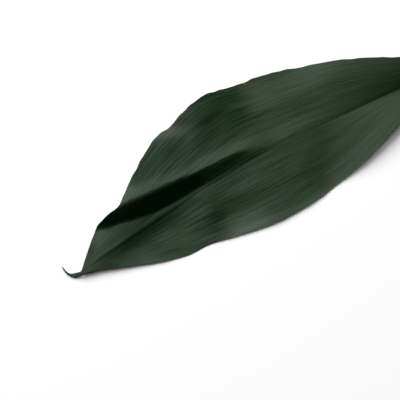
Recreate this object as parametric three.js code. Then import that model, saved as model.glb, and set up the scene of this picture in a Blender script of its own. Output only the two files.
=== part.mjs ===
// Preserved aspidistra leaf: one long leathery blade lying on a table, with its curled tip and its stalk.
// Millimetres, +Z up. The leaf lies along X, its tip at the -X end and its cut stalk at the +X end.
// A place on the leaf is given by two numbers: along, the distance from the neck of the tip along the midrib,
// and across, the distance from the midrib, plus on the left half (+Y) and minus on the right half (-Y).
import * as THREE from "three";

// Lengths along the midrib: the curled tip before the neck, the blade, and the stalk after it
const TAIL_LENGTH = 19.5;
const BLADE_LENGTH = 352;
const STALK_LENGTH = 193;
const TAIL_END = -TAIL_LENGTH;
const STALK_END = BLADE_LENGTH + STALK_LENGTH;

// Thickness of the blade
const THICKNESS = 0.7;

// Course of the midrib: along, x, y, z
const MIDRIB = [
  [TAIL_END, -10.2, 12.9, 3.5],
  [-14.6, -9.8, 8.7, 2.2],
  [-10.6, -8.4, 4.7, 1.9],
  [-6, -5.1, 2.1, 2.2],
  [0, 0, 0.6, 3.4],
  [20, 20, 2, 4.4],
  [60, 60, 3.4, 4.9],
  [105, 105, 5.2, 4.5],
  [135, 135, 5.6, 5],
  [165, 165, 4.5, 7],
  [200, 200, 2, 5.4],
  [235, 235, -1.8, 2.4],
  [270, 270, -6, 1.7],
  [BLADE_LENGTH, BLADE_LENGTH, -16.5, 3.4],
  [450, 450, -29, 4.4],
  [STALK_END, STALK_END, -41, 2.9],
];

// The tip, the neck and the stalk are nearly alike on both sides: along, half-width
const TAIL_EDGE = [[TAIL_END, 0.35], [-14.6, 0.5], [-10.6, 1], [-6, 1.9], [-2.5, 1.6]];
const STALK_EDGE = [[360, 3], [400, 2.6], [STALK_END, 2.7]];

// Margins of the blade: along, half-width. The left one is pulled in at 48, the right one at 88.
const LEFT_EDGE = [
  ...TAIL_EDGE,
  [0, 1.7], [5, 5.6], [14, 12.2], [26, 21.6], [32, 24.1], [42, 24.4], [48, 23.5], [54, 25.6], [63, 31.9],
  [78, 40], [96, 49], [105, 53.3], [111, 54.4], [118, 55], [133, 58.6], [150, 62.5], [175, 63],
  [205, 60], [240, 50], [280, 33], [315, 16.5], [340, 6.5],
  ...STALK_EDGE,
];
const RIGHT_EDGE = [
  ...TAIL_EDGE,
  [0, 2.1], [8, 5.3], [18, 10.4], [30, 16.4], [54, 28.2], [66, 33.1], [78, 36.9], [88, 37.8], [96, 39.3],
  [107, 43], [118, 46.4], [133, 50.2], [150, 53.1], [170, 53.8], [190, 52.8],
  [205, 50.3], [240, 42.5], [280, 28], [315, 14], [340, 6],
  ...STALK_EDGE,
];

// Beside the tip the left half falls outward: along, degrees
const TIP_BANK = [
  [TAIL_END, 0], [0, 12], [20, 12], [32, 10], [44, 2], [55, -3], [75, -3], [100, 0], [STALK_END, 0],
];

// A slanting fold lifts the left half: the place across of its middle, its width and its height
const FOLD_LINE = [
  [TAIL_END, 30], [20, 30], [31, 26.4], [38, 22.9], [46, 20.5], [54, 17.9], [61, 16], [77, 12.4], [95, 9.9],
  [115, 7.4], [128, 6.2], [142, 5.5], [155, 4.6], [168, 3.4], [180, 3], [STALK_END, 3],
];
const FOLD_WIDTH = [
  [TAIL_END, 12], [50, 12.6], [61, 14.2], [77, 13.9], [95, 12.8], [115, 9.6], [128, 9], [142, 9.8],
  [155, 9.6], [168, 8], [180, 6], [200, 5], [STALK_END, 5],
];
const FOLD_HEIGHT = [
  [TAIL_END, 0], [16, 0], [34, 5.5], [55, 12], [78, 14], [100, 13], [115, 11.6], [135, 9], [150, 6],
  [165, 2.8], [180, 0.6], [195, 0], [STALK_END, 0],
];

// How the fold rises: 0 where it is steepest at its foot and 1 where it is steepest at its crest, the power of
// that curve, and its share beside an even rise
const FOLD_LEAN = [
  [TAIL_END, 0.2], [60, 0.3], [105, 0.5], [130, 0.95], [150, 0.9], [165, 0.3], [STALK_END, 0.3],
];
const FOLD_POWER = 2.2;
const FOLD_SHARPNESS = 0.6;

// Past the fold's crest the left half steps down, in this stretch from the crest, and then slopes gently
// towards its margin, downwards where the slope is positive
const CREST_FALL = [
  [TAIL_END, 0], [30, 2], [45, 3.2], [75, 3], [100, 2.6], [130, 3], [155, 3.4], [185, 3], [205, 2],
  [230, 1], [270, 0], [STALK_END, 0],
];
const CREST_STRETCH = [-3, 10];
const CREST_ROUNDING = 1.5;
const PLATEAU_SLOPE = [
  [TAIL_END, 0], [40, 0.1], [55, 0.15], [66, 0.1], [78, -0.07], [95, -0.09], [115, -0.1], [135, -0.22],
  [155, -0.19], [175, -0.08], [195, -0.06], [240, 0], [STALK_END, 0],
];
const PLATEAU_REACH = 60;

// A crease runs from the kink in the left margin towards the midrib: a point of it, its direction in degrees,
// and where it fades out across and along
const KINK = { along: 105, across: 54, direction: -27, depth: 3, width: 12 };
const KINK_FADE_ACROSS = [15, 35];
const KINK_FADE_ALONG = [112, 145];

// Height that the right half bends to at its margin, the power of that curve, and how far the margin itself
// curls up again
const RIGHT_RIM = [
  [TAIL_END, 3.5], [-6, 2.2], [0, 3.2], [10, 3.4], [25, 2.3], [45, 0.9], [60, 0.2], [72, -0.6], [84, -1],
  [104, -1], [118, -1.2], [135, -0.4], [150, 1.2], [163, 1.8], [185, 1.2], [210, -2.2], [240, -1.6],
  [290, 1], [BLADE_LENGTH, 3.4], [450, 4.4], [STALK_END, 2.9],
];
const RIM_POWER = 1.1;
const RIM_CURL = [
  [TAIL_END, 0], [40, 0], [60, 1], [72, 1.6], [85, 1.8], [104, 2.8], [118, 3.4], [135, 2.8], [150, 1.6],
  [165, 0.6], [185, 1], [210, 2.6], [240, 2.6], [280, 1.5], [320, 0], [STALK_END, 0],
];
const RIM_CURL_WIDTH = 20;

// Each half arches between the midrib and its margin, and the outer part of the left one droops to the table
const LEFT_ARCH = [[TAIL_END, 0], [190, 0], [240, 1.5], [300, 2], [345, 0], [STALK_END, 0]];
const LEFT_DROOP = [
  [TAIL_END, 0], [150, 0], [180, 6], [210, 10], [235, 10], [260, 5], [290, 0], [STALK_END, 0],
];
const DROOP_STRETCH = [28, 75];
const RIGHT_ARCH = [
  [TAIL_END, 0], [20, 0.4], [60, 1], [90, 0.9], [110, 0.6], [140, 0.3], [180, 0], [215, 0], [260, 1],
  [300, 1], [345, 0], [STALK_END, 0],
];

// A long pleat on the right half rises from the midrib, steps down and sags a little before the margin
const PLEAT_START = 105;
const PLEAT_PLACE = 22;
const PLEAT_SLANT = 0.08;
const PLEAT_WIDTH = 15;
const PLEAT_HEIGHT = [
  [TAIL_END, 0], [78, 0], [95, 1.6], [110, 2.4], [130, 2], [150, 1.2], [170, 0.4], [185, 0], [STALK_END, 0],
];
const PLEAT_POWER = 0.7;
const PLEAT_SAG = 0.25;

// Beside the midrib the right half drops into a trough: its depth, the place across where it starts, how
// softly it bends there, and how soon it is deep
const TROUGH = [
  [TAIL_END, 0], [3, 0], [18, 2], [36, 3.4], [50, 4], [72, 3.4], [95, 1.5], [108, 0.7], [125, 1],
  [145, 1.7], [160, 1.4], [175, 0.3], [185, 0], [STALK_END, 0],
];
const TROUGH_START = 1;
const TROUGH_ROUNDING = 0.5;
const TROUGH_REACH = 2.8;

// The midrib: a groove above, and a keel below that grows into the stalk
const GROOVE_DEPTH = [
  [TAIL_END, 0], [0, 0.2], [15, 0.3], [105, 0.3], [140, 0.25], [230, 0.2], [330, 0.8], [STALK_END, 0.9],
];
const GROOVE_WIDTH = 1.7;
const KEEL_DEPTH = [
  [TAIL_END, 0], [0, 0.1], [60, 0.5], [200, 1.2], [300, 1.8], [365, 2.4], [STALK_END, 2.4],
];
const KEEL_WIDTH = 1.9;

// Towards the stalk the two halves close up into a channel: along, degrees
const CHANNEL = [[TAIL_END, 0], [200, 0], [260, 10], [310, 22], [345, 26], [365, 0], [STALK_END, 0]];

// Where the blade ends and the stalk's round underside begins
const STALK_BLEND = [330, 365];

// Rows of points along the leaf: the end of each stretch, and the steps in it
const ROWS = [[0, 8], [60, 16], [210, 36], [BLADE_LENGTH, 20], [STALK_END, 9]];

// Columns of points on each half. On the wide blade they crowd towards the midrib.
const LEFT_COLUMNS = 17;
const RIGHT_COLUMNS = 12;
const CROWDING = 0.6;
const CROWDED_WIDTHS = [5, 25];

// Steps for measuring the blade's slope: along, and in shares of the half-width
const SLOPE_ALONG = 0.5;
const SLOPE_SHARE = 0.01;

const LEAF_COLOUR = 0x2b3f2d;

// A smooth curve through knots: cubic pieces whose slopes are those of the neighbouring chords
function through(place, knots, column = 1) {
  const last = knots.length - 1;
  const at = THREE.MathUtils.clamp(place, knots[0][0], knots[last][0]);
  let i = 0;
  while (i < last - 1 && at >= knots[i + 1][0]) {
    i += 1;
  }
  const slope = (k) => {
    const before = knots[Math.max(k - 1, 0)];
    const after = knots[Math.min(k + 1, last)];
    return (after[column] - before[column]) / (after[0] - before[0]);
  };
  const span = knots[i + 1][0] - knots[i][0];
  const u = (at - knots[i][0]) / span;
  const rest = 1 - u;
  return (
    knots[i][column] * (1 + 2 * u) * rest * rest +
    knots[i + 1][column] * u * u * (3 - 2 * u) +
    span * u * rest * (slope(i) * rest - slope(i + 1) * u)
  );
}

const smooth = THREE.MathUtils.smoothstep;
const tangent = (degrees) => Math.tan(THREE.MathUtils.degToRad(degrees));
const bell = (distance, width) => Math.exp(-((distance / width) ** 2));

// The distance itself where it is positive and 0 where it is negative, rounded between
function softRamp(distance, rounding) {
  return rounding * Math.log1p(Math.exp(distance / rounding));
}

// Half-width of the leaf on the side that a place across lies on
function halfWidth(along, left) {
  return through(along, left ? LEFT_EDGE : RIGHT_EDGE);
}

// Rise across the fold from 0 to 1: an even rise mixed with one that leans to the foot or to the crest
function foldRise(along, beside, reach) {
  const u = THREE.MathUtils.clamp((beside + reach) / (2 * reach), 0, 1);
  const lean = through(along, FOLD_LEAN);
  const leaning = THREE.MathUtils.lerp(1 - (1 - u) ** FOLD_POWER, u ** FOLD_POWER, lean);
  return THREE.MathUtils.lerp(smooth(u, 0, 1), leaning, FOLD_SHARPNESS);
}

// Height of the left half above the midrib
function leftHeight(along, across) {
  const bank = tangent(through(along, TIP_BANK)) * across;
  const beside = across - through(along, FOLD_LINE);
  const reach = through(along, FOLD_WIDTH) / 2;
  const rise = foldRise(along, beside, reach);
  const step = through(along, CREST_FALL) * smooth(beside - reach, ...CREST_STRETCH);
  const beyond = softRamp(beside - reach, CREST_ROUNDING);
  const slope = through(along, PLATEAU_SLOPE) * PLATEAU_REACH * Math.tanh(beyond / PLATEAU_REACH);
  const arch = through(along, LEFT_ARCH) * Math.sin((Math.PI * across) / halfWidth(along, true));
  const turn = THREE.MathUtils.degToRad(KINK.direction);
  const past = (across - KINK.across) * Math.cos(turn) - (along - KINK.along) * Math.sin(turn);
  const crease = smooth(past, -KINK.width / 4, (KINK.width * 3) / 4);
  const kept = smooth(across, ...KINK_FADE_ACROSS) * (1 - smooth(along, ...KINK_FADE_ALONG));
  const lifted = rise * (through(along, FOLD_HEIGHT) - step - slope) - (1 - rise) * bank;
  const droop = through(along, LEFT_DROOP) * smooth(across, ...DROOP_STRETCH);
  return lifted + arch - droop - KINK.depth * crease * kept;
}

// Height of the right half above the midrib
function rightHeight(along, across) {
  const width = halfWidth(along, false);
  const share = across / width;
  const rim = (through(along, RIGHT_RIM) - through(along, MIDRIB, 3)) * share ** RIM_POWER;
  const arch = through(along, RIGHT_ARCH) * Math.sin(Math.PI * share);
  const place = PLEAT_PLACE + PLEAT_SLANT * (along - PLEAT_START);
  const drop = smooth(across, place - PLEAT_WIDTH / 2, place + PLEAT_WIDTH / 2);
  const pleat = share ** PLEAT_POWER * (1 - drop) - PLEAT_SAG * drop * (1 - share);
  const curl = 2 * smooth(across, width - RIM_CURL_WIDTH, width + RIM_CURL_WIDTH);
  return rim + arch + through(along, PLEAT_HEIGHT) * pleat + through(along, RIM_CURL) * curl;
}

// Depth of the trough, which grows quickly from the midrib and ends at the right margin
function trough(along, across) {
  const wall = 1 - Math.exp(-softRamp(TROUGH_START - across, TROUGH_ROUNDING) / TROUGH_REACH);
  const share = Math.max(-across, 0) / halfWidth(along, false);
  return through(along, TROUGH) * wall * (1 - share ** 2);
}

// Place across for a column: its share of the half-width, with columns closer together near the midrib
function acrossOf(along, column) {
  const left = column >= 0;
  const width = halfWidth(along, left);
  const power = 1 + CROWDING * smooth(width, ...CROWDED_WIDTHS);
  return Math.sign(column) * width * Math.abs(column) ** power;
}

// Middle of the blade's thickness
function middle(along, column) {
  const across = acrossOf(along, column);
  const before = along - SLOPE_ALONG;
  const after = along + SLOPE_ALONG;
  const ahead = new THREE.Vector2(
    through(after, MIDRIB, 1) - through(before, MIDRIB, 1),
    through(after, MIDRIB, 2) - through(before, MIDRIB, 2),
  ).normalize();
  const bends = leftHeight(along, Math.max(across, 0)) + rightHeight(along, Math.max(-across, 0));
  const channel = tangent(through(along, CHANNEL)) * Math.abs(across);
  const groove = through(along, GROOVE_DEPTH) * bell(across, GROOVE_WIDTH);
  return new THREE.Vector3(
    through(along, MIDRIB, 1) - across * ahead.y,
    through(along, MIDRIB, 2) + across * ahead.x,
    through(along, MIDRIB, 3) + bends + channel - groove - trough(along, across),
  );
}

// Direction square to the blade, upwards
function upright(along, column) {
  const lengthwise = middle(along + SLOPE_ALONG, column).sub(middle(along - SLOPE_ALONG, column));
  const leftward = middle(along, Math.min(column + SLOPE_SHARE, 1));
  const crosswise = leftward.sub(middle(along, Math.max(column - SLOPE_SHARE, -1)));
  return lengthwise.cross(crosswise).normalize();
}

// Depth of the keel under the midrib, which widens into the stalk's round underside
function keel(along, column) {
  const stalk = smooth(along, ...STALK_BLEND);
  const ridge = bell(acrossOf(along, column), KEEL_WIDTH);
  const round = Math.sqrt(1 - column * column);
  return through(along, KEEL_DEPTH) * THREE.MathUtils.lerp(ridge, round, stalk);
}

// The upper and the lower point of the blade at one place, pressed flat where they reach the table
function facePoints(along, column) {
  const centre = middle(along, column);
  const half = upright(along, column).multiplyScalar(THICKNESS / 2);
  const upper = centre.clone().add(half);
  const lower = centre.clone().sub(half);
  lower.z = Math.max(lower.z - keel(along, column), 0);
  upper.z = Math.max(upper.z, THICKNESS);
  return { upper, lower };
}

// Distances along the leaf for the rows of points
function rowPlaces() {
  const places = [TAIL_END];
  for (const [end, steps] of ROWS) {
    const start = places[places.length - 1];
    for (let i = 1; i <= steps; i += 1) {
      places.push(start + ((end - start) * i) / steps);
    }
  }
  return places;
}

// Columns from the right margin, -1, over the midrib, 0, to the left margin, 1
function columnPlaces() {
  const places = [];
  for (let i = -RIGHT_COLUMNS; i <= LEFT_COLUMNS; i += 1) {
    places.push(i < 0 ? i / RIGHT_COLUMNS : i / LEFT_COLUMNS);
  }
  return places;
}

// One closed skin: upper face, lower face, both margins and the two ends. Both faces are split alike, along
// the diagonal that follows the slanting fold.
function leafGeometry() {
  const rows = rowPlaces();
  const columns = columnPlaces();
  const across = columns.length;
  const lowerStart = rows.length * across;
  const upperPoints = [];
  const lowerPoints = [];
  for (const along of rows) {
    for (const column of columns) {
      const { upper, lower } = facePoints(along, column);
      upperPoints.push(upper);
      lowerPoints.push(lower);
    }
  }
  const up = (row, column) => row * across + column;
  const low = (row, column) => lowerStart + up(row, column);
  const triangles = [];
  const quad = (a, b, c, d) => triangles.push(a, b, c, a, c, d);
  const lastRow = rows.length - 1;
  const lastColumn = across - 1;
  for (let r = 0; r < lastRow; r += 1) {
    for (let c = 0; c < lastColumn; c += 1) {
      quad(up(r + 1, c), up(r + 1, c + 1), up(r, c + 1), up(r, c));
      triangles.push(low(r + 1, c), low(r, c + 1), low(r + 1, c + 1));
      triangles.push(low(r + 1, c), low(r, c), low(r, c + 1));
    }
    quad(low(r, 0), low(r + 1, 0), up(r + 1, 0), up(r, 0));
    quad(low(r + 1, lastColumn), low(r, lastColumn), up(r, lastColumn), up(r + 1, lastColumn));
  }
  for (let c = 0; c < lastColumn; c += 1) {
    quad(low(0, c + 1), low(0, c), up(0, c), up(0, c + 1));
    quad(low(lastRow, c), low(lastRow, c + 1), up(lastRow, c + 1), up(lastRow, c));
  }
  const geometry = new THREE.BufferGeometry().setFromPoints([...upperPoints, ...lowerPoints]);
  geometry.setIndex(triangles);
  geometry.computeVertexNormals();
  return geometry;
}

// The origin is on the table, under the middle of the leaf's box
function centreOnTable(geometry) {
  geometry.computeBoundingBox();
  const { min, max } = geometry.boundingBox;
  return geometry.translate(-(min.x + max.x) / 2, -(min.y + max.y) / 2, -min.z);
}

const leafMaterial = new THREE.MeshStandardMaterial({ color: LEAF_COLOUR, roughness: 0.45, metalness: 0 });
const leaf = new THREE.Mesh(centreOnTable(leafGeometry()), leafMaterial);
leaf.name = "leaf";

const part = new THREE.Group();
part.add(leaf);

export default part;
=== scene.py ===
# %% [markdown]
# # A preserved aspidistra leaf
# One leaf lies on a white table: a long dark blade with a slanting fold, a sunken midrib, a tip drawn
# out into a curl, and a slim stalk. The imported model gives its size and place. This script keeps that
# form, works it out again on a much finer grid, and adds what the eye looks for up close: veins, sheen
# and colour.

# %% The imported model
import math

import bpy
import numpy as np
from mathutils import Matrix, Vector


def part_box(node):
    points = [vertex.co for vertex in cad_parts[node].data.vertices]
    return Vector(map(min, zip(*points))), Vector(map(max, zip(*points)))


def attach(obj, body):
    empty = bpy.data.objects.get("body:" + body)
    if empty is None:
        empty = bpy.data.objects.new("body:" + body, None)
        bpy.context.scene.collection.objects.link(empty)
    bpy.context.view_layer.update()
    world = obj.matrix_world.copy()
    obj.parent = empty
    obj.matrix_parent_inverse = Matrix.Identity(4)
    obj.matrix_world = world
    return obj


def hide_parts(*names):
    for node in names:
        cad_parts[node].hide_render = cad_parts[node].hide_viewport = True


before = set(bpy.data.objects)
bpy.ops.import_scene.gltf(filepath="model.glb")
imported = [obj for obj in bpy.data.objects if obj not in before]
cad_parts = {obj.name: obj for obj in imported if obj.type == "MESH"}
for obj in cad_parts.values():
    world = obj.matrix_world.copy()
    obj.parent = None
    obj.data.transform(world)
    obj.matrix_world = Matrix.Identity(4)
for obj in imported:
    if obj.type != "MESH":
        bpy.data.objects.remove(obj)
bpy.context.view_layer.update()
leaf_low, leaf_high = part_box("leaf")
MM = 0.001
print("leaf box in mm:", [round(side / MM, 1) for side in leaf_high - leaf_low])

# %% [markdown]
# ## Smooth curves from a few points
# A leaf has no straight line in it, yet its margins and folds can be told in a few measured places. A
# spline object could join them, but a function is easier to use inside formulas: `through` gives the
# value of a smooth curve at every place of a whole array at once.


# %% Helpers for smooth curves
def through(place, knots, column=1):
    """Cubic pieces through the knots. A knot's slope is that of the chord between its two neighbours."""
    table = np.array(knots, float)
    at, value = table[:, 0], table[:, column]
    number = np.arange(len(at))
    before = np.maximum(number - 1, 0)
    after = np.minimum(number + 1, len(at) - 1)
    slope = (value[after] - value[before]) / (at[after] - at[before])
    place = np.clip(place, at[0], at[-1])
    i = np.clip(np.searchsorted(at, place, side="right") - 1, 0, len(at) - 2)
    span = at[i + 1] - at[i]
    u = (place - at[i]) / span
    rest = 1 - u
    ends = value[i] * (1 + 2 * u) * rest**2 + value[i + 1] * u**2 * (3 - 2 * u)
    return ends + span * u * rest * (slope[i] * rest - slope[i + 1] * u)


def smooth(value, low, high):
    """0 below low, 1 above high, and 3u^2 - 2u^3 between them."""
    u = np.clip((value - low) / (high - low), 0, 1)
    return u * u * (3 - 2 * u)


def bell(distance, width):
    """A bell curve: e to the minus (distance / width) squared."""
    return np.exp(-((distance / width) ** 2))


def soft_ramp(distance, rounding):
    """The distance where it is positive and 0 where it is negative, with the corner rounded off."""
    return rounding * np.logaddexp(0, distance / rounding)


def tangent(degrees):
    """Rise per unit of run for a slope in degrees."""
    return np.tan(np.radians(degrees))


print("curve helpers ready")

# %% [markdown]
# ## The leaf seen from above
# Every place on the leaf has two numbers: *along*, the distance from the neck of the tip along the
# midrib, and *across*, the distance from the midrib, plus on the left half. The midrib's course and the
# two margins are then curves of *along* only. A traced outline would also give the rim, but not the
# lines that the veins follow.

# %% Midrib and margins, in millimetres
TAIL_LENGTH = 19.5
BLADE_LENGTH = 352
STALK_LENGTH = 193
TAIL_END = -TAIL_LENGTH
STALK_END = BLADE_LENGTH + STALK_LENGTH

# along, x, y, z
MIDRIB = [
    (TAIL_END, -10.6, 13.1, 2.4), (-14.6, -10.2, 8.9, 1.1), (-10.6, -8.7, 4.9, 0.8), (-6, -5.3, 2.2, 1.4),
    (0, 0, 0.6, 3.4), (20, 20, 2, 4.4), (60, 60, 3.4, 4.9), (105, 105, 5.2, 4.5), (135, 135, 5.6, 5),
    (165, 165, 4.5, 7), (200, 200, 2, 5.4), (235, 235, -1.8, 2.4), (270, 270, -6, 1.7),
    (BLADE_LENGTH, BLADE_LENGTH, -16.5, 3.4), (450, 450, -29, 4.4), (STALK_END, STALK_END, -41, 2.9),
]
# along, half-width
TAIL_EDGE = [(TAIL_END, 0.35), (-14.6, 0.5), (-10.6, 1), (-6, 1.9), (-2.5, 1.6)]
STALK_EDGE = [(360, 3), (400, 2.6), (STALK_END, 2.7)]
LEFT_EDGE = TAIL_EDGE + [
    (0, 1.7), (5, 5.6), (14, 12.2), (26, 21.6), (32, 24.1), (42, 24.4), (48, 23.5), (54, 25.6), (63, 31.9),
    (78, 40), (96, 49), (105, 53.3), (111, 54.4), (118, 55), (133, 58.6), (150, 62.5), (175, 63),
    (205, 60), (240, 50), (280, 33), (315, 16.5), (340, 6.5),
] + STALK_EDGE
RIGHT_EDGE = TAIL_EDGE + [
    (0, 2.1), (8, 5.3), (18, 10.4), (30, 16.4), (54, 28.2), (66, 33.1), (78, 36.9), (88, 37.8), (96, 39.3),
    (107, 43), (118, 46.4), (133, 50.2), (150, 53.1), (170, 53.8), (190, 52.8),
    (205, 50.3), (240, 42.5), (280, 28), (315, 14), (340, 6),
] + STALK_EDGE


def half_width(along, column):
    """Half-width of the side that a column lies on: columns run from -1, right margin, to 1, left margin."""
    return np.where(column >= 0, through(along, LEFT_EDGE), through(along, RIGHT_EDGE))


blade = np.arange(0, BLADE_LENGTH)
print("widest place in mm:", round(float((half_width(blade, 1) + half_width(blade, -1)).max()), 1))

# %% [markdown]
# ## The left half and its fold
# A leaf that dried on a bench keeps its bends. The left half is lifted by a fold that slants from its
# margin to the midrib. Past its crest the blade falls away, its margin has a crease, and further on it
# droops to the table. Sculpting could make these bends, but as sums of smooth steps each has a height,
# a width and a place that can be read and changed.

# %% Heights of the left half, in millimetres
# along, slope in degrees at which the blade falls from the midrib towards the fold's foot
TIP_BANK = [
    (TAIL_END, 0), (0, 12), (20, 12), (32, 10), (44, 2), (55, -3), (75, -3), (100, 0), (STALK_END, 0),
]
# along, place across of the fold's middle
FOLD_LINE = [
    (TAIL_END, 30), (20, 30), (31, 26.4), (38, 22.9), (46, 20.5), (54, 17.9), (61, 16), (77, 12.4),
    (95, 9.9), (115, 7.4), (128, 6.2), (142, 5.5), (155, 4.6), (168, 3.4), (180, 3), (200, 3),
    (STALK_END, 3),
]
# along, width of the fold
FOLD_WIDTH = [
    (TAIL_END, 12), (50, 12.6), (61, 14.2), (77, 13.9), (95, 12.8), (115, 9.6), (128, 9), (142, 9.8),
    (155, 9.6), (168, 8), (180, 6), (200, 5), (STALK_END, 5),
]
# along, height of the fold
FOLD_HEIGHT = [
    (TAIL_END, 0), (16, 0), (34, 5.5), (55, 12), (78, 14), (100, 13), (115, 11.6), (135, 9), (150, 6),
    (165, 2.8), (180, 0.6), (195, 0), (STALK_END, 0),
]
# along, 0 where the fold is steepest at its foot and 1 where it is steepest at its crest
FOLD_LEAN = [(TAIL_END, 0.2), (60, 0.3), (105, 0.5), (130, 0.95), (150, 0.9), (165, 0.3), (STALK_END, 0.3)]
# power of the leaning curves, and their share in the mix with the smooth step
FOLD_POWER, FOLD_SHARPNESS = 2.2, 0.6
# along, drop of the blade at the crest
CREST_FALL = [
    (TAIL_END, 0), (30, 2), (45, 3.2), (75, 3), (100, 2.6), (130, 3), (155, 3.4), (185, 3), (205, 2),
    (230, 1), (270, 0), (STALK_END, 0),
]
# distances from the crest over which the drop comes in, and the rounding of the slope's start
CREST_STEP, CREST_ROUNDING = (-3, 10), 1.5
# along, slope of the blade past the crest, plus where it goes down
PLATEAU_SLOPE = [
    (TAIL_END, 0), (40, 0.1), (55, 0.15), (66, 0.1), (78, -0.07), (95, -0.09), (115, -0.1), (135, -0.22),
    (155, -0.19), (175, -0.08), (195, -0.06), (240, 0), (STALK_END, 0),
]
# distance past the crest at which the slope levels off
PLATEAU_REACH = 60
# the crease in the margin: its place, direction in degrees, depth, step and where it fades
KINK_ALONG, KINK_ACROSS, KINK_DIRECTION = 105, 54, -27
KINK_DEPTH, KINK_STEP = 3, (-3, 9)
KINK_ACROSS_FADE, KINK_ALONG_FADE = (15, 35), (112, 145)
# along, height of an arch between midrib and margin
LEFT_ARCH = [(TAIL_END, 0), (190, 0), (240, 1.5), (300, 2), (345, 0), (STALK_END, 0)]
# along, how far the outer blade droops
LEFT_DROOP = [(TAIL_END, 0), (150, 0), (180, 6), (210, 10), (235, 10), (260, 5), (290, 0), (STALK_END, 0)]
# places across between which the droop comes in
DROOP_STRETCH = (28, 75)
# a place on the crest, for the printed height
CREST_ALONG, CREST_ACROSS = 80, 24


def fold_rise(along, from_fold, reach):
    """From 0 to 1 across the fold: a smooth step mixed with power curves that lean to its foot or crest."""
    u = np.clip((from_fold + reach) / (2 * reach), 0, 1)
    lean = through(along, FOLD_LEAN)
    power = lean * u**FOLD_POWER + (1 - lean) * (1 - (1 - u) ** FOLD_POWER)
    return FOLD_SHARPNESS * power + (1 - FOLD_SHARPNESS) * smooth(u, 0, 1)


def crease_share(along, across):
    """From 0 to 1 over a slanting line by the margin: a smooth step that fades inwards and to the stalk."""
    slant = math.radians(KINK_DIRECTION)
    past = (across - KINK_ACROSS) * math.cos(slant) - (along - KINK_ALONG) * math.sin(slant)
    crease = smooth(past, *KINK_STEP) * smooth(across, *KINK_ACROSS_FADE)
    return crease * (1 - smooth(along, *KINK_ALONG_FADE))


def left_height(along, across):
    """The bank, the fold's rise less its fall past the crest, and an arch, less the droop and the crease."""
    bank = tangent(through(along, TIP_BANK)) * across
    fold = through(along, FOLD_LINE)
    reach = through(along, FOLD_WIDTH) / 2
    rise = fold_rise(along, across - fold, reach)
    beyond = soft_ramp(across - fold - reach, CREST_ROUNDING)
    fall = through(along, CREST_FALL) * smooth(across - fold - reach, *CREST_STEP)
    fall = fall + through(along, PLATEAU_SLOPE) * PLATEAU_REACH * np.tanh(beyond / PLATEAU_REACH)
    arch = through(along, LEFT_ARCH) * np.sin(np.pi * across / through(along, LEFT_EDGE))
    droop = through(along, LEFT_DROOP) * smooth(across, *DROOP_STRETCH)
    lifted = rise * (through(along, FOLD_HEIGHT) - fall) - (1 - rise) * bank
    return lifted + arch - droop - KINK_DEPTH * crease_share(along, across)


crest = left_height(np.array([CREST_ALONG]), np.array([CREST_ACROSS]))
print("fold crest above the midrib in mm:", round(float(crest[0]), 1))

# %% [markdown]
# ## The right half and its curled margin
# The right half runs down to the table, and its margin curls up again. One long pleat and some low
# waves lie on it, and beside the midrib it drops into a narrow trough, which shows as a dark line up to
# the point. Each bend is again a formula of its own, because a cloth-like simulation would be hard to
# steer to these places.

# %% Heights of the right half, in millimetres
# along, height of the margin above the table, before its curl
RIGHT_RIM = [
    (TAIL_END, 2.4), (-6, 1.4), (0, 3.2), (10, 3.7), (25, 3.2), (45, 1.8), (60, 0.4), (72, -0.6), (84, -1),
    (94, -1), (104, -1), (118, -1.2), (135, -0.4), (150, 1.2), (163, 1.8), (185, 1.2), (210, -2.2),
    (240, -1.6), (290, 1), (BLADE_LENGTH, 3.4), (450, 4.4), (STALK_END, 2.9),
]
# power of the curve from the midrib down to the margin
RIM_POWER = 1.1
# along, how far the margin curls up
RIM_CURL = [
    (TAIL_END, 0), (40, 0), (60, 1), (72, 1.6), (85, 1.8), (104, 2.8), (118, 3.4), (135, 2.8), (150, 1.6),
    (165, 0.6), (185, 1), (210, 2.6), (240, 2.6), (280, 1.5), (320, 0), (STALK_END, 0),
]
# width of the strip that curls up
RIM_CURL_WIDTH = 20
# along, height of an arch between midrib and margin
RIGHT_ARCH = [
    (TAIL_END, 0), (20, 0.4), (60, 1), (90, 0.9), (110, 0.6), (140, 0.3), (180, 0), (215, 0), (260, 1),
    (300, 1), (345, 0), (STALK_END, 0),
]
# along, how far the right half drops beside the midrib
TROUGH = [
    (TAIL_END, 0), (3, 0), (18, 2), (36, 3.4), (50, 4), (72, 3.4), (95, 1.5), (108, 0.7), (125, 1),
    (145, 1.7), (160, 1.4), (175, 0.3), (185, 0), (STALK_END, 0),
]
# distance right of the midrib where the trough starts, how soon it is deep, and its edge's rounding
TROUGH_START, TROUGH_REACH, TROUGH_ROUNDING = -1, 2.8, 0.5
# the long pleat: where its place across is told, that place, its slant and the width of its drop
PLEAT_START, PLEAT_PLACE, PLEAT_SLANT, PLEAT_WIDTH = 105, 22, 0.08, 15
# along, height of the long pleat
PLEAT_HEIGHT = [
    (TAIL_END, 0), (78, 0), (95, 1.6), (110, 2.4), (130, 2), (150, 1.2), (170, 0.4), (185, 0),
    (STALK_END, 0),
]
# power of the pleat's rise from the midrib, and the share of its height that the blade sags past it
PLEAT_POWER, PLEAT_SAG = 0.7, 0.25
# along, height of the cross waves halfway between midrib and margin
BUCKLE = [
    (TAIL_END, 0), (60, 0), (76, -0.5), (96, 0.7), (114, -0.6), (140, 0.2), (165, 0), (STALK_END, 0),
]
# slant of the cross waves, the place across where they are told, and the power of their arch
BUCKLE_SLANT, BUCKLE_MIDDLE, BUCKLE_POWER = 0.5, 35, 0.7


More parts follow.
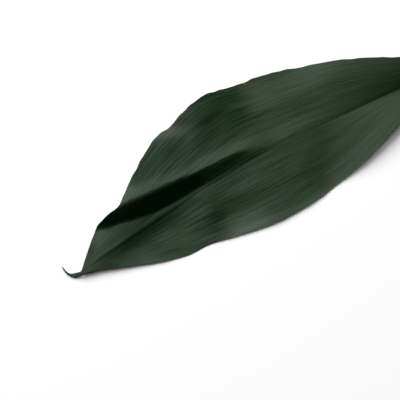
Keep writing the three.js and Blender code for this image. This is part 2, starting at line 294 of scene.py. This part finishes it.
def right_height(along, across):
    """A power curve to the margin's height, an arch, the long pleat, slanting cross waves, and the curl.

    The curl is the lower half of a smooth step, doubled, so that it is whole at the margin.
    """
    margin = through(along, RIGHT_EDGE)
    share = across / margin
    rim = (through(along, RIGHT_RIM) - through(along, MIDRIB, 3)) * share**RIM_POWER
    arch = through(along, RIGHT_ARCH) * np.sin(np.pi * share)
    place = PLEAT_PLACE + PLEAT_SLANT * (along - PLEAT_START)
    drop = smooth(across, place - PLEAT_WIDTH / 2, place + PLEAT_WIDTH / 2)
    pleat = share**PLEAT_POWER * (1 - drop) - PLEAT_SAG * drop * (1 - share)
    wave_height = through(along + BUCKLE_SLANT * (across - BUCKLE_MIDDLE), BUCKLE)
    wave = wave_height * np.sin(np.pi * share) ** BUCKLE_POWER
    curl = through(along, RIM_CURL) * smooth(across, margin - RIM_CURL_WIDTH, margin + RIM_CURL_WIDTH) * 2
    return rim + arch + through(along, PLEAT_HEIGHT) * pleat + wave + curl


def trough_depth(along, column):
    """A wall that falls beside the midrib as 1 - e^-distance, and fades out towards the right margin."""
    across = column * half_width(along, column)
    wall = 1 - np.exp(-soft_ramp(-across - TROUGH_START, TROUGH_ROUNDING) / TROUGH_REACH)
    return through(along, TROUGH) * wall * (1 - np.minimum(column, 0) ** 2)


print("highest curl of the right margin in mm:", max(height for along, height in RIM_CURL))

# %% [markdown]
# ## The middle surface
# The midrib is a narrow groove. Towards the stalk both halves rise beside it into a channel, and the
# margins are finely crinkled. All heights are added up on one grid of rows along the leaf and columns
# across it. Fewer columns would do for the outline; they are packed closely here, because the veins are
# fine.

# %% Middle surface in millimetres, with the neck of the tip at the origin
# along, depth of the groove over the midrib
GROOVE_DEPTH = [
    (TAIL_END, 0), (0, 0.2), (15, 0.3), (105, 0.3), (140, 0.25), (230, 0.2), (330, 0.8), (STALK_END, 0.9),
]
GROOVE_WIDTH = 1.7
# along, slope in degrees at which both halves rise from the midrib
CHANNEL = [(TAIL_END, 0), (200, 0), (260, 10), (310, 22), (345, 26), (365, 0), (STALK_END, 0)]
# length and height of each wave of the crinkles
CRINKLES = [(9.1, 0.16), (13.7, 0.2), (21.3, 0.16)]
# share of the crinkles on each margin, and the power that keeps them there
LEFT_CRINKLE, RIGHT_CRINKLE, CRINKLE_POWER = 1, 0.25, 14
# half-widths between which the crinkles come in
CRINKLE_WIDTHS = (8, 22)
# half of the step over which the midrib's direction is measured
HALF_STEP = 0.5


def crinkle(along, column):
    """Outward millimetres: a sum of sines along the leaf, on a power curve that is felt at the margins."""
    waves = sum(height * np.sin(2 * np.pi * along / length) for length, height in CRINKLES)
    share = np.where(column >= 0, LEFT_CRINKLE, -RIGHT_CRINKLE) * np.abs(column) ** CRINKLE_POWER
    return waves * share * smooth(half_width(along, column), *CRINKLE_WIDTHS)


def middle(along, column):
    """The midrib's place, moved sideways by the place across and up by the sum of all heights."""
    across = column * half_width(along, column)
    ahead_x = through(along + HALF_STEP, MIDRIB, 1) - through(along - HALF_STEP, MIDRIB, 1)
    ahead_y = through(along + HALF_STEP, MIDRIB, 2) - through(along - HALF_STEP, MIDRIB, 2)
    ahead = np.hypot(ahead_x, ahead_y)
    bends = left_height(along, np.maximum(across, 0)) + right_height(along, np.maximum(-across, 0))
    channel = tangent(through(along, CHANNEL)) * np.abs(across)
    groove = through(along, GROOVE_DEPTH) * bell(across, GROOVE_WIDTH)
    height = through(along, MIDRIB, 3) + bends + channel - groove - trough_depth(along, column)
    sideways = across + crinkle(along, column)
    x = through(along, MIDRIB, 1) - sideways * ahead_y / ahead
    y = through(along, MIDRIB, 2) + sideways * ahead_x / ahead
    return np.stack(np.broadcast_arrays(x, y, height), axis=-1)


print("crinkles of the margins in mm:", round(sum(height for length, height in CRINKLES), 2))

# %% Grid of the leaf
# end of each stretch along the leaf, rows in it
ROWS = [(0, 16), (60, 34), (210, 60), (BLADE_LENGTH, 24), (STALK_END, 10)]
LEFT_COLUMNS, RIGHT_COLUMNS = 234, 202


def row_places():
    """Even steps on each stretch of the leaf, closer together where it bends most."""
    starts = [TAIL_END] + [end for end, steps in ROWS[:-1]]
    stretches = [np.linspace(start, end, steps, endpoint=False) for start, (end, steps) in zip(starts, ROWS)]
    return np.concatenate(stretches + [[STALK_END]])


rows = row_places()[:, None]
right_columns = np.linspace(-1, 0, RIGHT_COLUMNS, endpoint=False)
left_columns = np.linspace(0, 1, LEFT_COLUMNS + 1)
columns = np.concatenate([right_columns, left_columns])[None, :]
centre = middle(rows, columns)
print("grid of", rows.size, "rows and", columns.size, "columns")

# %% [markdown]
# ## Veins
# Aspidistra veins run side by side from the stalk to the tip and never branch. They grew before the
# leaf was bent, so they keep their place on the flattened blade: the way over the surface from the
# midrib, as a share of the smoothed way to the margin. A wave over that share is a set of veins. They
# are shaped in the mesh, because they catch the light in streaks, and a bump map alone would be lost in
# the exported mesh.

# %% Place of the veins
# length along the leaf over which the way to the margin is averaged
VEIN_SMOOTHING = 40


def vein_places(surface, along):
    """Running sum of the steps across the surface, over the margin's own sum averaged along the leaf."""
    steps = np.linalg.norm(np.diff(surface, axis=1), axis=-1)
    way = np.concatenate([np.zeros_like(along), np.cumsum(steps, axis=1)], axis=1)
    way = way - way[:, [RIGHT_COLUMNS]]
    weights = bell(along - along.T, VEIN_SMOOTHING) * np.gradient(along[:, 0])
    weights = weights / weights.sum(axis=1, keepdims=True)
    return np.where(way < 0, -way / (weights @ way[:, [0]]), way / (weights @ way[:, [-1]]))


veins = vein_places(centre, rows)
print("vein places run from", round(float(veins.min()), 2), "to", round(float(veins.max()), 2))

# %% Relief of the veins, in millimetres
VEINS = 38
# depth of the deepest groove, and its width as a share of the vein spacing
VEIN_GROOVE, VEIN_GROOVE_WIDTH = 0.09, 0.24
# half-widths between which the relief comes in
VEIN_WIDTHS = (5, 40)
# shares of the half-width between which it ends at the margin
RELIEF_END = (0.97, 1)
# veins stand closer and wider by turns, and sway a little along the leaf
BUNCH_SIZE, BUNCH_COUNT = 0.4, 1.7
SWAY_SIZE, SWAY_LENGTH, SWAY_SLANT = 0.3, 47, 9
# count on a half, height, start of each set of pleats
PLEATS = [(3.3, 0.05, 0.1), (6.1, 0.02, 0.37), (9.7, 0.015, 0.71)]
# how far the pleats drift, over what length, where the right side starts, and the count that drifts as told
PLEAT_DRIFT, PLEAT_DRIFT_LENGTH, DRIFT_START, DRIFT_COUNT = 0.35, 150, 6, 6
# how far the right half's waves are shifted against the left half's
SIDE_START = 0.31
VEIN_SEED, VEIN_STRENGTHS = 5, (0.15, 1)
vein_draw = np.random.default_rng(VEIN_SEED)
vein_strength = vein_draw.uniform(*VEIN_STRENGTHS, 4 * VEINS)


def vein_relief(place, along, width):
    """Narrow grooves between the veins, each of its own depth, on long shallow pleats made of cosines."""
    side = np.where(place < 0, SIDE_START, 0.0)
    share = np.abs(place)
    bunching = BUNCH_SIZE * np.sin(2 * np.pi * (BUNCH_COUNT * share + side))
    sway = SWAY_SIZE * np.sin(along / SWAY_LENGTH + SWAY_SLANT * share)
    turn = VEINS * share + bunching + sway
    groove = np.floor(turn)
    depth = vein_strength[(groove + np.where(place < 0, 2 * VEINS, 0)).astype(int) % vein_strength.size]
    grooves = -VEIN_GROOVE * depth * bell(turn - groove - 0.5, VEIN_GROOVE_WIDTH)
    drift = PLEAT_DRIFT * np.sin(2 * np.pi * along / PLEAT_DRIFT_LENGTH + DRIFT_START * side)
    waves = 0
    for count, height, start in PLEATS:
        pleat = count * share + start + side + drift * count / DRIFT_COUNT
        waves = waves + height * np.cos(2 * np.pi * pleat)
    return smooth(width, *VEIN_WIDTHS) * (grooves + waves * width / VEIN_WIDTHS[1])


half_widths = half_width(rows, columns)
relief = vein_relief(veins, rows, half_widths) * (1 - smooth(np.abs(columns), *RELIEF_END))
print("vein spacing at the widest place in mm:", round(float(half_widths.max()) / VEINS, 2))

# %% [markdown]
# ## Painted sheen and shade
# Along stretches of both margins, by the crease of the left margin and on the fold's crest, the skin is
# painted paler as a painted sheen. In the fold, beside the midrib and in a few more spots it is painted a
# deeper, duller green as painted shade, and the sheen is lowered there too. One number for each point says
# how much: 1 and more is painted sheen, minus 1 and less is painted shade. It could be painted by hand, but
# soft spots that are measured from the margin follow its waves by themselves.

# %% Painted sheen and shade
# side, along, distance inside the margin, length, width and strength of each spot
# the pale spots are painted sheen, where the curled margins, the crease and the crest catch the light
PAINTED_SHEEN_SPOTS = [
    (-1, 126, 0, 19, 11, 1.2), (-1, 141, 10, 10, 6, 0.2), (-1, 185, 0, 40, 5, 0.8),
    (-1, 194, 39, 18, 8, 0.3), (-1, 45, 3, 14, 5, 0.5), (-1, 76, 18, 16, 8, 0.25), (1, 112, 2, 9, 8, 0.7),
    (1, 60, 0, 14, 9, 0.6), (1, 135, 39, 14, 5, 0.3), (1, 160, 47, 20, 7, 0.6), (1, 27, 6, 5, 6, 0.25),
]
# the deep spots are painted shade
PAINTED_SHADE_SPOTS = [
    (-1, 103, 9, 11, 5, 0.5), (-1, 130, 30, 16, 4, 0.45), (-1, 103, 38, 9, 4, 0.45), (-1, 58, 16, 9, 4, 0.3),
    (-1, 20, 2, 10, 4, 0.5), (-1, 36, 6, 9, 4, 0.35), (-1, 70, 5, 10, 5, 0.25), (1, 141, 20, 14, 10, 0.5),
    (1, 112, 16, 10, 7, 0.3), (1, 85, 3, 10, 6, 0.3), (1, 130, 56, 13, 4, 0.4), (1, 15, 3, 4, 4, 0.45),
]
# along, strength of the painted shade in the fold, and the part of the fold's bump over which it comes in
PAINTED_FOLD_SHADE = [(TAIL_END, 0), (25, 0), (40, 1), (112, 1), (126, 0.3), (140, 0), (STALK_END, 0)]
FOLD_BUMP = (0, 0.7)
# place across, width and strength of the lines of painted shade beside the midrib, and the trough's depths
# between which they come in
PAINTED_MIDRIB_SHADE = [(-4.5, 4.5, 0.75), (6.5, 4, 0.6)]
LINE_DEPTHS = (1, 4)


def paint_sheen_and_shade(along, column):
    """Painted sheen spots less painted shade spots, and painted shade on a bump 4u(1 - u) of the fold's rise
    u and in lines by the midrib.
    """
    width = half_width(along, column)
    across = column * width
    inside = width - np.abs(across)
    pale = 0
    for sign, spots in ((1, PAINTED_SHEEN_SPOTS), (-1, PAINTED_SHADE_SPOTS)):
        for side, place, depth, length, spread, strength in spots:
            spot = strength * bell(along - place, length) * bell(inside - depth, spread)
            pale = pale + sign * spot * (column * side > 0)
    from_fold = np.maximum(across, 0) - through(along, FOLD_LINE)
    rise = fold_rise(along, from_fold, through(along, FOLD_WIDTH) / 2)
    pale = pale - through(along, PAINTED_FOLD_SHADE) * smooth(4 * rise * (1 - rise), *FOLD_BUMP)
    for place, spread, strength in PAINTED_MIDRIB_SHADE:
        pale = pale - strength * smooth(through(along, TROUGH), *LINE_DEPTHS) * bell(across - place, spread)
    return pale


# how much sheen (above 0) and shade (below 0) is painted at each point
painted_light = paint_sheen_and_shade(rows, columns)
print("worn places run from", round(float(painted_light.min()), 2), "to", round(float(painted_light.max()), 2))

# %% [markdown]
# ## Thickness
# The blade is 0.6 mm thick and thinner at its margins. Its midrib is a groove above and a keel below,
# and the keel grows into the round underside of the stalk. Solidify could thicken a sheet, but it would
# also thicken the stalk's edges, so both faces are worked out from the middle surface and its upright
# direction.

# %% Upper and lower face
THICKNESS = 0.6
# share of the thickness at the margins, and the power that keeps the taper close to them
RIM_SHARE, RIM_TAPER = 0.45, 14
# along, depth of the keel
KEEL_DEPTH = [(TAIL_END, 0), (0, 0.1), (60, 0.5), (200, 1.2), (300, 1.8), (365, 2.4), (STALK_END, 2.4)]
KEEL_WIDTH = 1.9
# stretch on which the keel turns into the stalk
STALK_BLEND = (330, 365)
# share of the veins' relief that the underside has
UNDER_RELIEF = 0.6


def upright_of(surface):
    """Unit normals of a grid: the cross product of its steps along and its steps across."""
    lengthwise = np.gradient(surface, axis=0)
    crosswise = np.gradient(surface, axis=1)
    normal = np.cross(lengthwise, crosswise)
    return normal / np.linalg.norm(normal, axis=-1, keepdims=True)


def keel(along, column):
    """A bell curve under the midrib that becomes a half circle under the stalk."""
    ridge = bell(column * half_width(along, column), KEEL_WIDTH)
    rounded = np.sqrt(np.clip(1 - column**2, 0, 1))
    stalk = smooth(along, *STALK_BLEND)
    return through(along, KEEL_DEPTH) * (ridge * (1 - stalk) + rounded * stalk)


upright = upright_of(centre)
thickness = THICKNESS * (1 - (1 - RIM_SHARE) * np.abs(columns) ** RIM_TAPER)
upper = centre + upright * (thickness / 2 + relief)[..., None]
lower = centre - upright * (thickness / 2 - UNDER_RELIEF * relief)[..., None]
lower[..., 2] = np.maximum(lower[..., 2] - keel(rows, columns), 0)
upper[..., 2] = np.maximum(upper[..., 2], lower[..., 2] + RIM_SHARE * THICKNESS)
print("height in mm:", round(float(upper[..., 2].max()), 1))

# %% [markdown]
# ## One closed mesh
# Two grids of points lie one above the other. The lower one keeps every second column, because nobody reads
# veins from beneath as closely. A strip of faces closes each margin, and one face each closes the tip and
# the cut end. The faces are counted out as index arrays, so no loop visits a vertex. Three attributes go
# with the points: along, across, and a third that says where sheen and shade are painted. The materials read
# them so that streaks follow the veins round every bend.

# %% Faces of the leaf
UNDER_STEP = 2
lower = lower[:, ::UNDER_STEP]


def grid_faces(numbers):
    """Quads of a grid of point numbers, counted so that they face up."""
    corners = [numbers[:-1, :-1], numbers[1:, :-1], numbers[1:, 1:], numbers[:-1, 1:]]
    return np.stack(corners, axis=-1).reshape(-1, 4)


def strip_faces(first, second):
    """Quads between two neighbouring lines of point numbers, in order round each face."""
    return np.stack([first[:-1], first[1:], second[1:], second[:-1]], axis=-1)


def leaf_faces():
    """Faces in three finishes: upper face with its margins, lower face with the tip's end, and cut end."""
    up = np.arange(upper[..., 0].size).reshape(upper.shape[:2])
    low = np.arange(lower[..., 0].size).reshape(lower.shape[:2]) + up.size
    top = [grid_faces(up), strip_faces(low[:, 0], up[:, 0]), strip_faces(up[:, -1], low[:, -1])]
    under = [grid_faces(low)[:, ::-1], np.concatenate([up[0], low[0, ::-1]])[None]]
    cut = [np.concatenate([low[-1], up[-1, ::-1]])[None]]
    return [sum((part.tolist() for part in parts), []) for parts in (top, under, cut)]


finishes = leaf_faces()
print("faces in each finish:", [len(faces) for faces in finishes])

# %% Mesh of the leaf
CUT_FINISH = 2
SHARP_ANGLE = 50
own_low = np.minimum(upper.min((0, 1)), lower.min((0, 1)))
own_high = np.maximum(upper.max((0, 1)), lower.max((0, 1)))
box_centre = (leaf_low + leaf_high) / 2
# where the neck of the tip lies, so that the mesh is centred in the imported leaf's box
neck = np.array([*box_centre.xy, leaf_low.z]) / MM - np.array([*(own_low + own_high)[:2] / 2, 0])


def leaf_mesh(name):
    """Points of both faces, the faces in their finishes, and the attributes that the materials read."""
    mesh = bpy.data.meshes.new(name)
    points = np.concatenate([upper.reshape(-1, 3), lower.reshape(-1, 3)])
    mesh.from_pydata(((points + neck) * MM).tolist(), [], sum(finishes, []))
    finish_of_face = np.repeat(np.arange(len(finishes)), [len(faces) for faces in finishes])
    mesh.polygons.foreach_set("material_index", finish_of_face.astype(np.int32))
    mesh.polygons.foreach_set("use_smooth", finish_of_face != CUT_FINISH)
    for title, values in (("along", np.broadcast_to(rows, veins.shape)), ("across", veins), ("painted_light", painted_light)):
        layer = mesh.attributes.new(title, "FLOAT", "POINT")
        both = np.concatenate([values.ravel(), values[:, ::UNDER_STEP].ravel()])
        layer.data.foreach_set("value", both.astype(np.float32))
    mesh.set_sharp_from_angle(angle=math.radians(SHARP_ANGLE))
    mesh.update()
    return mesh


leaf = bpy.data.objects.new("aspidistra_leaf", leaf_mesh("aspidistra_leaf"))
bpy.context.scene.collection.objects.link(leaf)
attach(leaf, "root")
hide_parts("leaf")
print("triangles:", sum(len(face.vertices) - 2 for face in leaf.data.polygons))

# %% [markdown]
# ## Helpers for nodes
# A finish is a tree of nodes. Each helper here adds one node, links it and gives back its output, so
# that a finish below reads like a formula. The same tree could be wired by hand in the shader editor,
# but a script can build it twice with other values, as the two skins of the leaf need.

# %% Node helpers
# sockets of a Mix node that hold colours; its sockets for numbers have the same names
MIX_FIRST, MIX_SECOND, MIX_RESULT = 6, 7, 2


def attribute(tree, title):
    """The value of one of the mesh's own attributes."""
    node = tree.nodes.new("ShaderNodeAttribute")
    node.attribute_name = title
    return node.outputs["Fac"]


def scaled(tree, value, factor):
    """A value multiplied by another."""
    node = tree.nodes.new("ShaderNodeMath")
    node.operation = "MULTIPLY"
    tree.links.new(value, node.inputs[0])
    tree.links.new(factor, node.inputs[1])
    return node.outputs[0]


def ranged(tree, value, low, high, source_low=0.0, source_high=1.0):
    """A value carried from one range to another, and kept inside it."""
    node = tree.nodes.new("ShaderNodeMapRange")
    tree.links.new(value, node.inputs["Value"])
    node.inputs["From Min"].default_value = source_low
    node.inputs["From Max"].default_value = source_high
    node.inputs["To Min"].default_value = low
    node.inputs["To Max"].default_value = high
    return node.outputs["Result"]


def mixed(tree, share, first, second):
    """A colour between two colours, which may be sockets or plain values."""
    node = tree.nodes.new("ShaderNodeMix")
    node.data_type = "RGBA"
    tree.links.new(share, node.inputs["Factor"])
    for number, source in ((MIX_FIRST, first), (MIX_SECOND, second)):
        if isinstance(source, tuple):
            node.inputs[number].default_value = (*source, 1)
        else:
            tree.links.new(source, node.inputs[number])
    return node.outputs[MIX_RESULT]


def tinted(tree, colour, tint):
    """A colour multiplied by another colour."""
    node = tree.nodes.new("ShaderNodeMix")
    node.data_type = "RGBA"
    node.blend_type = "MULTIPLY"
    node.inputs["Factor"].default_value = 1
    tree.links.new(colour, node.inputs[MIX_FIRST])
    tree.links.new(tint, node.inputs[MIX_SECOND])
    return node.outputs[MIX_RESULT]


print("node helpers ready")

# %% [markdown]
# ## Streaks and patches as node groups
# Both faces of the leaf show the same two effects: fine streaks that follow the veins, and soft patches
# where the tissue kept more or less of its green. Each is a node group, built once and used by each
# skin with its own values. The streaks are a noise that is stretched about thirtyfold along the leaf.

# %% Node groups
# output, scale and detail of each noise
STREAK_NOISES = [("Streak", 1.0, 2.0), ("Fine", 3.1, 3.0)]
STREAK_ROUGHNESS = 0.6
PATCH_DETAIL, PATCH_RANGE = 2, (0.35, 0.65)


def new_group(name, inputs, outputs):
    """An empty shader group with float sockets: inputs with their usual values, and outputs."""
    group = bpy.data.node_groups.new(name, "ShaderNodeTree")
    for title, value in inputs.items():
        socket = group.interface.new_socket(title, in_out="INPUT", socket_type="NodeSocketFloat")
        socket.default_value = value
    for title in outputs:
        group.interface.new_socket(title, in_out="OUTPUT", socket_type="NodeSocketFloat")
    return group, group.nodes.new("NodeGroupInput"), group.nodes.new("NodeGroupOutput")


def streak_group():
    """Noise over (across times count, along times stretch): long thin streaks, coarse and fine."""
    group, given, result = new_group("vein streaks", {"Count": 40, "Stretch": 0.025}, ["Streak", "Fine"])
    place = group.nodes.new("ShaderNodeCombineXYZ")
    group.links.new(scaled(group, attribute(group, "across"), given.outputs["Count"]), place.inputs["X"])
    group.links.new(scaled(group, attribute(group, "along"), given.outputs["Stretch"]), place.inputs["Y"])
    for title, scale, detail in STREAK_NOISES:
        noise = group.nodes.new("ShaderNodeTexNoise")
        noise.inputs["Scale"].default_value = scale
        noise.inputs["Detail"].default_value = detail
        noise.inputs["Roughness"].default_value = STREAK_ROUGHNESS
        group.links.new(place.outputs["Vector"], noise.inputs["Vector"])
        group.links.new(noise.outputs["Fac"], result.inputs[title])
    return group


def patch_group():
    """Noise over the object's own coordinates, pushed apart by a smooth ramp: soft patches."""
    group, given, result = new_group("leaf patches", {"Size": 45}, ["Patch"])
    coordinates = group.nodes.new("ShaderNodeTexCoord")
    noise = group.nodes.new("ShaderNodeTexNoise")
    noise.inputs["Detail"].default_value = PATCH_DETAIL
    group.links.new(coordinates.outputs["Object"], noise.inputs["Vector"])
    group.links.new(given.outputs["Size"], noise.inputs["Scale"])
    ramp = group.nodes.new("ShaderNodeMapRange")
    ramp.interpolation_type = "SMOOTHSTEP"
    ramp.inputs["From Min"].default_value = PATCH_RANGE[0]
    ramp.inputs["From Max"].default_value = PATCH_RANGE[1]
    group.links.new(noise.outputs["Fac"], ramp.inputs["Value"])
    group.links.new(ramp.outputs["Result"], result.inputs["Patch"])
    return group


STREAKS = streak_group()
PATCHES = patch_group()
print("node groups:", STREAKS.name, "and", PATCHES.name)

# %% [markdown]
# ## The leaf's two skins
# A preserved leaf is soaked in glycerine, so it stays supple and its dark green keeps a waxy, satin
# sheen. The upper skin has fine streaks, which fade towards the stalk while the green gets warmer. The
# underside is paler and duller. Image textures could hold all that, but nodes stay sharp at any
# distance.

# %% Skins
COOL_TINT, WARM_TINT = (0.88, 1, 1.1), (1.2, 1.02, 0.84)
# the stretch along the leaf on which the tissue gets older towards the stalk, and what that does
OLDER_STRETCH, STREAK_FADE, WARMING = (110, 230), 0.6, 0.8
# most of the painted sheen colour and of the painted shade colour that is mixed in, and the share of the
# sheen that is left where shade is painted
SHEEN_PAINT_SHARE, SHADE_PAINT_SHARE, SHEEN_IN_PAINTED_SHADE = 0.75, 1, 0.3
# values of the coarse and the fine noise between which colour and roughness change
STREAK_RANGE, FINE_RANGE = (0.4, 0.6), (0.3, 0.7)
# stretch on which the blade's green turns into the stalk's colour
STALK_STRETCH = (BLADE_LENGTH - 40, BLADE_LENGTH + 60)


def placed(tree, group, **values):
    """A group node in a material, with its own input values."""
    node = tree.nodes.new("ShaderNodeGroup")
    node.node_tree = group
    for title, value in values.items():
        node.inputs[title].default_value = value
    return node


def new_finish(name):
    """A new material and its shader."""
    material = bpy.data.materials.new(name)
    material.use_nodes = True
    return material, material.node_tree.nodes["Principled BSDF"]


def skin(name, dark, light, pale, painted_shade, stalk, roughness, specular, bump_height, streak_count):
    """Leaf skin: streaks between two greens, tinted in patches, mixed with the pale painted sheen, the
    painted shade and the stalk colours.

    The sheen is also lowered where shade is painted, and the fine streaks set roughness and bumps.
    """
    material, shader = new_finish(name)
    tree = material.node_tree
    streaks = placed(tree, STREAKS, Count=streak_count)
    patches = placed(tree, PATCHES)
    along = attribute(tree, "along")
    green = mixed(tree, ranged(tree, streaks.outputs["Streak"], 0, 1, *STREAK_RANGE), dark, light)
    even = tuple((first + second) / 2 for first, second in zip(dark, light))
    green = mixed(tree, ranged(tree, along, 0, STREAK_FADE, *OLDER_STRETCH), green, even)
    tint = mixed(tree, patches.outputs["Patch"], COOL_TINT, WARM_TINT)
    tint = mixed(tree, ranged(tree, along, 0, WARMING, *OLDER_STRETCH), tint, WARM_TINT)
    green = tinted(tree, green, tint)
    painted_light_here = attribute(tree, "painted_light")
    # the pale painted sheen colour comes in above 0, the painted shade colour below 0
    green = mixed(tree, ranged(tree, painted_light_here, 0, SHEEN_PAINT_SHARE), green, pale)
    green = mixed(tree, ranged(tree, painted_light_here, SHADE_PAINT_SHARE, 0, -1, 0), green, painted_shade)
    on_stalk = ranged(tree, along, 0, 1, *STALK_STRETCH)
    tree.links.new(mixed(tree, on_stalk, green, stalk), shader.inputs["Base Color"])
    rough = ranged(tree, streaks.outputs["Fine"], *roughness, *FINE_RANGE)
    tree.links.new(rough, shader.inputs["Roughness"])
    # less sheen where shade is painted
    sheen = ranged(tree, painted_light_here, specular * SHEEN_IN_PAINTED_SHADE, specular, -1, 0)
    tree.links.new(sheen, shader.inputs["Specular IOR Level"])
    bump = tree.nodes.new("ShaderNodeBump")
    bump.inputs["Strength"].default_value = 1
    bump.inputs["Distance"].default_value = bump_height
    tree.links.new(streaks.outputs["Fine"], bump.inputs["Height"])
    tree.links.new(bump.outputs["Normal"], shader.inputs["Normal"])
    return material


# the pale colour is a painted sheen, and the deepest colour a painted shade
UPPER_SKIN = skin(
    "leaf upper skin", dark=(0.0024, 0.0095, 0.0034), light=(0.014, 0.0428, 0.017),
    pale=(0.049, 0.073, 0.05), painted_shade=(0.0012, 0.0066, 0.0018), stalk=(0.022, 0.032, 0.014),
    roughness=(0.36, 0.5), specular=0.15, bump_height=0.14 * MM, streak_count=44,
)
UNDER_SKIN = skin(
    "leaf underside", dark=(0.02, 0.036, 0.02), light=(0.034, 0.055, 0.032),
    pale=(0.06, 0.075, 0.056), painted_shade=(0.014, 0.026, 0.014), stalk=(0.03, 0.042, 0.02),
    roughness=(0.5, 0.65), specular=0.2, bump_height=0.15 * MM, streak_count=44,
)
print("skins:", UPPER_SKIN.name, "and", UNDER_SKIN.name)

# %% [markdown]
# ## The cut end
# The stalk was cut off, and its end shows dry tan fibres. Each strand could be a small tube, but the
# end is only about five millimetres wide, so a cell pattern over the object's own coordinates is
# enough.

# %% Cut end, and the finishes on the leaf
STRAND_SCALE, STRAND_RANGE = 1600, (0.15, 0.5)
STRAND_DARK, STRAND_LIGHT = (0.05, 0.035, 0.018), (0.2, 0.15, 0.08)
CUT_ROUGHNESS = 0.85


def cut_end():
    """Tan fibres: a fine cell pattern, dark in the middle of each strand and lighter round it."""
    material, shader = new_finish("stalk cut end")
    tree = material.node_tree
    coordinates = tree.nodes.new("ShaderNodeTexCoord")
    cells = tree.nodes.new("ShaderNodeTexVoronoi")
    cells.inputs["Scale"].default_value = STRAND_SCALE
    tree.links.new(coordinates.outputs["Object"], cells.inputs["Vector"])
    strand = ranged(tree, cells.outputs["Distance"], 0, 1, *STRAND_RANGE)
    tree.links.new(mixed(tree, strand, STRAND_DARK, STRAND_LIGHT), shader.inputs["Base Color"])
    shader.inputs["Roughness"].default_value = CUT_ROUGHNESS
    return material


for finish in (UPPER_SKIN, UNDER_SKIN, cut_end()):
    leaf.data.materials.append(finish)
print("finishes:", [slot.material.name for slot in leaf.material_slots])

# %% [markdown]
# ## The table
# The leaf lies on plain white. One square is enough, and it is much wider than the picture, so that its
# edge stays far off in low views.

# %% Table
TABLE_SIZE = 30
TABLE_WHITE, TABLE_ROUGHNESS = (0.92, 0.92, 0.92, 1), 0.9
corner = TABLE_SIZE / 2
table_mesh = bpy.data.meshes.new("table")
corners = [(-corner, -corner, 0), (corner, -corner, 0), (corner, corner, 0), (-corner, corner, 0)]
table_mesh.from_pydata(corners, [], [(0, 1, 2, 3)])
table = bpy.data.objects.new("table", table_mesh)
bpy.context.scene.collection.objects.link(table)
table_paint, table_shader = new_finish("white table")
table_shader.inputs["Base Color"].default_value = TABLE_WHITE
table_shader.inputs["Roughness"].default_value = TABLE_ROUGHNESS
table_mesh.materials.append(table_paint)
print("table of", TABLE_SIZE, "m")

# %% [markdown]
# ## The camera
# The camera looks steeply down across the leaf, so that the tip lies at the lower left of the picture.
# Its lens follows from the real size of a picture element, so the distance can be changed and the leaf
# keeps its size.

# %% Camera
PHOTO_SIDE = 400
MM_PER_PIXEL = 0.78
CAMERA_AZIMUTH, CAMERA_ELEVATION, CAMERA_DISTANCE = -33.3, 72, 0.9
# the place that the camera aims at, in millimetres from the neck of the tip
AIM_FROM_NECK = (107.1, -0.2, 4)
CAMERA_AIM = Vector((neck + np.array(AIM_FROM_NECK)) * MM)
SENSOR = 36

turn, rise = math.radians(CAMERA_AZIMUTH), math.radians(CAMERA_ELEVATION)
backward = Vector((math.sin(turn) * math.cos(rise), -math.cos(turn) * math.cos(rise), math.sin(rise)))
camera_data = bpy.data.cameras.new("camera")
camera_data.sensor_width = SENSOR
camera_data.lens = CAMERA_DISTANCE / (MM_PER_PIXEL * MM * PHOTO_SIDE) * SENSOR
camera = bpy.data.objects.new("camera", camera_data)
camera.location = CAMERA_AIM + backward * CAMERA_DISTANCE
camera.rotation_euler = backward.to_track_quat("Z", "Y").to_euler()
bpy.context.scene.collection.objects.link(camera)
bpy.context.scene.camera = camera
print("lens in mm:", round(camera_data.lens, 1))

# %% [markdown]
# ## The lights
# A large soft light at the upper left of the picture throws the fold into deep shade and leaves a thin
# shadow under the raised margin. A second one from above keeps the table white. A sun lamp would give
# hard shadows, so both are squares.

# %% Lights
WORLD_WHITE, WORLD_STRENGTH = (1, 1, 1, 1), 0.02
picture_right = Vector((math.cos(turn), math.sin(turn), 0))
picture_up = Vector((-math.sin(turn), math.cos(turn), 0))


def soft_light(name, picture_angle, elevation, distance, side, brightness):
    """A square light whose direction is told as the picture shows it: angle from the right, then up."""
    angle, lift = math.radians(picture_angle), math.radians(elevation)
    level = picture_right * math.cos(angle) + picture_up * math.sin(angle)
    way = level * math.cos(lift) + Vector((0, 0, 1)) * math.sin(lift)
    data = bpy.data.lights.new(name, "AREA")
    data.size = side
    data.energy = brightness * math.pi * side**2
    light = bpy.data.objects.new(name, data)
    light.location = CAMERA_AIM + way * distance
    light.rotation_euler = way.to_track_quat("Z", "Y").to_euler()
    bpy.context.scene.collection.objects.link(light)


soft_light("key light", picture_angle=122, elevation=44, distance=2.8, side=2.6, brightness=5.7)
soft_light("top light", picture_angle=90, elevation=88, distance=2.4, side=1.6, brightness=2.1)
world = bpy.data.worlds.new("studio")
world.use_nodes = True
background = world.node_tree.nodes["Background"]
background.inputs["Color"].default_value = WORLD_WHITE
background.inputs["Strength"].default_value = WORLD_STRENGTH
bpy.context.scene.world = world
bpy.context.scene.view_settings.view_transform = "Standard"
